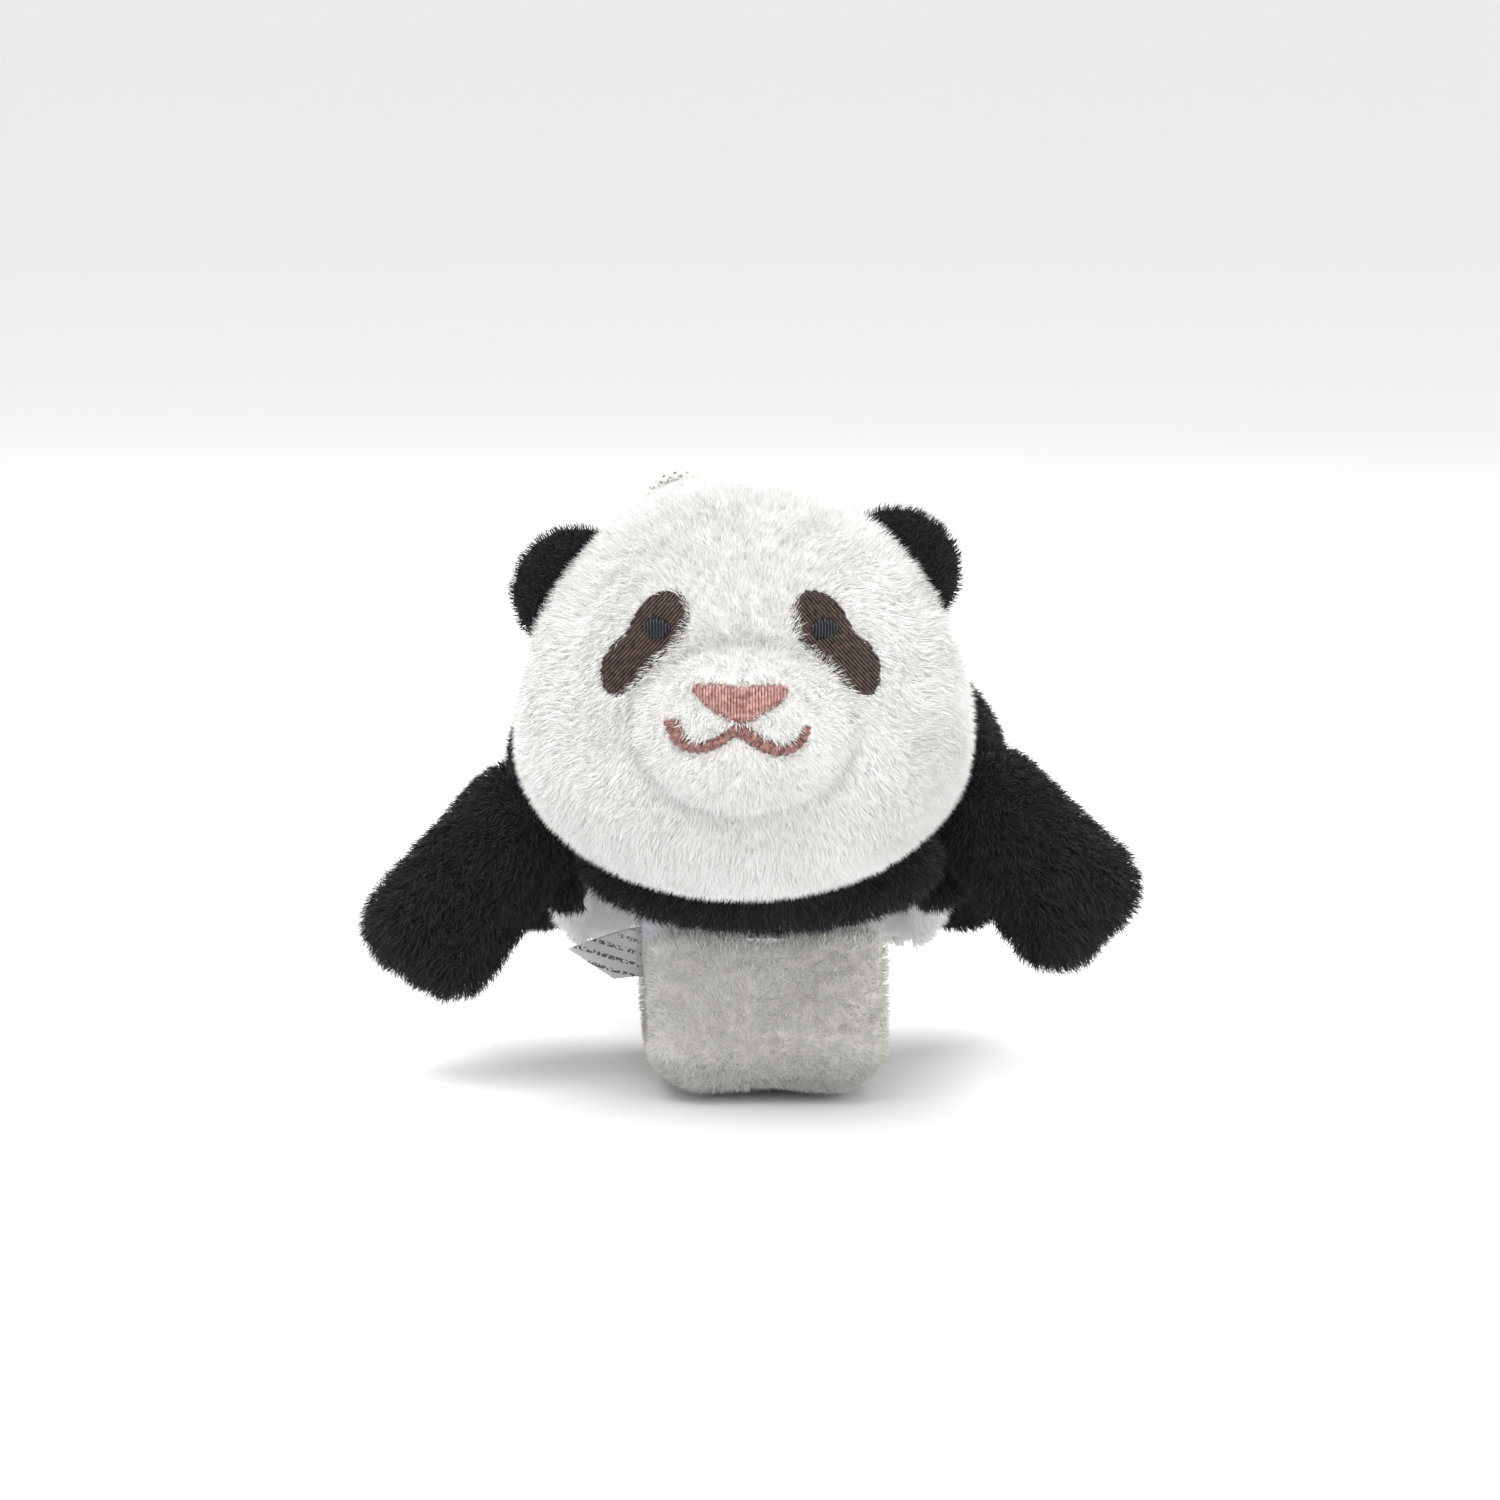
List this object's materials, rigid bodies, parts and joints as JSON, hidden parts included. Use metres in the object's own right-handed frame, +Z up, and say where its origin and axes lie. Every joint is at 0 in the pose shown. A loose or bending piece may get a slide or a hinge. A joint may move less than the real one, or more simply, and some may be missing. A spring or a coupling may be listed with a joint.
{
  "type": "plush panda slap band",
  "caption": "Small stuffed panda arched over a coiled, cloth-covered steel slap band, with a hanging loop, that clips round a wrist or bag strap.",
  "frame": {"origin": "on the flat underside of the band, below the middle of the coil", "axes": "-Y is the way the panda looks, +Z up, +X to the viewer's right when the face is seen"},
  "size_m": [0.1304, 0.1239, 0.1084],
  "materials": {
    "white_pile": "short plush pile, matt",
    "black_pile": "short plush pile, matt",
    "band_pile": "brushed short pile, matt",
    "lining": "flat knit, matt",
    "fibre_fill": "loose polyester fibre",
    "spring_steel": "thin rolled spring steel",
    "brown_thread": "satin stitch",
    "black_thread": "satin stitch",
    "pink_thread": "satin stitch",
    "satin": "printed satin tape",
    "white_cord": "braided cord"
  },
  "bodies": {
    "body": {"head_front_cover": "white_pile", "head_back_cover": "white_pile", "head_stuffing": "fibre_fill", "muzzle_cover": "white_pile", "muzzle_stuffing": "fibre_fill", "eye_patch_left": "brown_thread", "eye_patch_right": "brown_thread", "pupil_left": "black_thread", "pupil_right": "black_thread", "nose": "pink_thread", "mouth": "pink_thread", "shoulder_cover": "black_pile", "torso_cover": "white_pile", "body_stuffing": "fibre_fill", "chest_stuffing": "fibre_fill", "tail_cover": "white_pile", "belly_lining": "lining", "band_steel_top": "spring_steel", "care_label": "satin", "hang_loop": "white_cord"},
    "ear_left": {"ear_left_front": "black_pile", "ear_left_back": "black_pile"},
    "arm_left": {"arm_left_cover": "black_pile", "arm_left_stuffing": "fibre_fill"},
    "leg_left": {"leg_left_cover": "black_pile", "leg_left_stuffing": "fibre_fill"},
    "ear_right": {"ear_right_front": "black_pile", "ear_right_back": "black_pile"},
    "arm_right": {"arm_right_cover": "black_pile", "arm_right_stuffing": "fibre_fill"},
    "leg_right": {"leg_right_cover": "black_pile", "leg_right_stuffing": "fibre_fill"},
    "link_1": {"band_cover_1": "band_pile", "band_steel_1": "spring_steel"},
    "link_2": {"band_cover_2": "band_pile", "band_steel_2": "spring_steel"},
    "link_3": {"band_cover_3": "band_pile", "band_steel_3": "spring_steel"},
    "link_4": {"band_cover_4": "band_pile", "band_steel_4": "spring_steel"},
    "link_5": {"band_cover_5": "band_pile", "band_steel_5": "spring_steel"},
    "link_6": {"band_cover_6": "band_pile", "band_steel_6": "spring_steel"}
  },
  "joints": [
    {"name": "arm_left_swing", "type": "hinge", "parent": "body", "child": "arm_left", "pos_m": [-0.0385, -0.014, 0.046], "axis": [0, 1, 0], "range_deg": [-10, 45], "stiffness_Nm_per_rad": 0.05},
    {"name": "arm_right_swing", "type": "hinge", "parent": "body", "child": "arm_right", "pos_m": [0.0395, -0.014, 0.049], "axis": [0, -1, 0], "range_deg": [-10, 45], "stiffness_Nm_per_rad": 0.05},
    {"name": "leg_left_swing", "type": "hinge", "parent": "body", "child": "leg_left", "pos_m": [-0.029, 0.036, 0.028], "axis": [0, 1, 0], "range_deg": [-10, 20], "stiffness_Nm_per_rad": 0.05},
    {"name": "leg_right_swing", "type": "hinge", "parent": "body", "child": "leg_right", "pos_m": [0.029, 0.036, 0.028], "axis": [0, -1, 0], "range_deg": [-10, 20], "stiffness_Nm_per_rad": 0.05},
    {"name": "ear_left_bend", "type": "hinge", "parent": "body", "child": "ear_left", "pos_m": [-0.02953, -0.037, 0.09026], "axis": [0.6293, 0, 0.7771], "range_deg": [-15, 15], "stiffness_Nm_per_rad": 0.05},
    {"name": "ear_right_bend", "type": "hinge", "parent": "body", "child": "ear_right", "pos_m": [0.02502, -0.037, 0.09347], "axis": [0.6428, 0, -0.766], "range_deg": [-15, 15], "stiffness_Nm_per_rad": 0.05},
    {"name": "band_bend_1", "type": "hinge", "parent": "body", "child": "link_1", "pos_m": [0, 0.02749, 0.01112], "axis": [1, 0, 0], "range_deg": [0, 30], "stiffness_Nm_per_rad": 0.05},
    {"name": "band_bend_2", "type": "hinge", "parent": "link_1", "child": "link_2", "pos_m": [0, 0.02361, 0.00439], "axis": [1, 0, 0], "range_deg": [0, 30], "stiffness_Nm_per_rad": 0.05},
    {"name": "band_bend_3", "type": "hinge", "parent": "link_2", "child": "link_3", "pos_m": [0, 0.01688, 0.00051], "axis": [1, 0, 0], "range_deg": [0, 30], "stiffness_Nm_per_rad": 0.05},
    {"name": "band_bend_4", "type": "hinge", "parent": "link_3", "child": "link_4", "pos_m": [0, -0.02159, 0.00034], "axis": [1, 0, 0], "range_deg": [0, 30], "stiffness_Nm_per_rad": 0.05},
    {"name": "band_bend_5", "type": "hinge", "parent": "link_4", "child": "link_5", "pos_m": [0, -0.02607, 0.00293], "axis": [1, 0, 0], "range_deg": [0, 30], "stiffness_Nm_per_rad": 0.05},
    {"name": "band_bend_6", "type": "hinge", "parent": "link_5", "child": "link_6", "pos_m": [0, -0.02866, 0.00741], "axis": [1, 0, 0], "range_deg": [0, 30], "stiffness_Nm_per_rad": 0.05}
  ],
  "couplings": [
    {"joint": "band_bend_2", "follows": "band_bend_1", "ratio": 1},
    {"joint": "band_bend_3", "follows": "band_bend_1", "ratio": 1},
    {"joint": "band_bend_4", "follows": "band_bend_1", "ratio": 1},
    {"joint": "band_bend_5", "follows": "band_bend_1", "ratio": 1},
    {"joint": "band_bend_6", "follows": "band_bend_1", "ratio": 1}
  ]
}
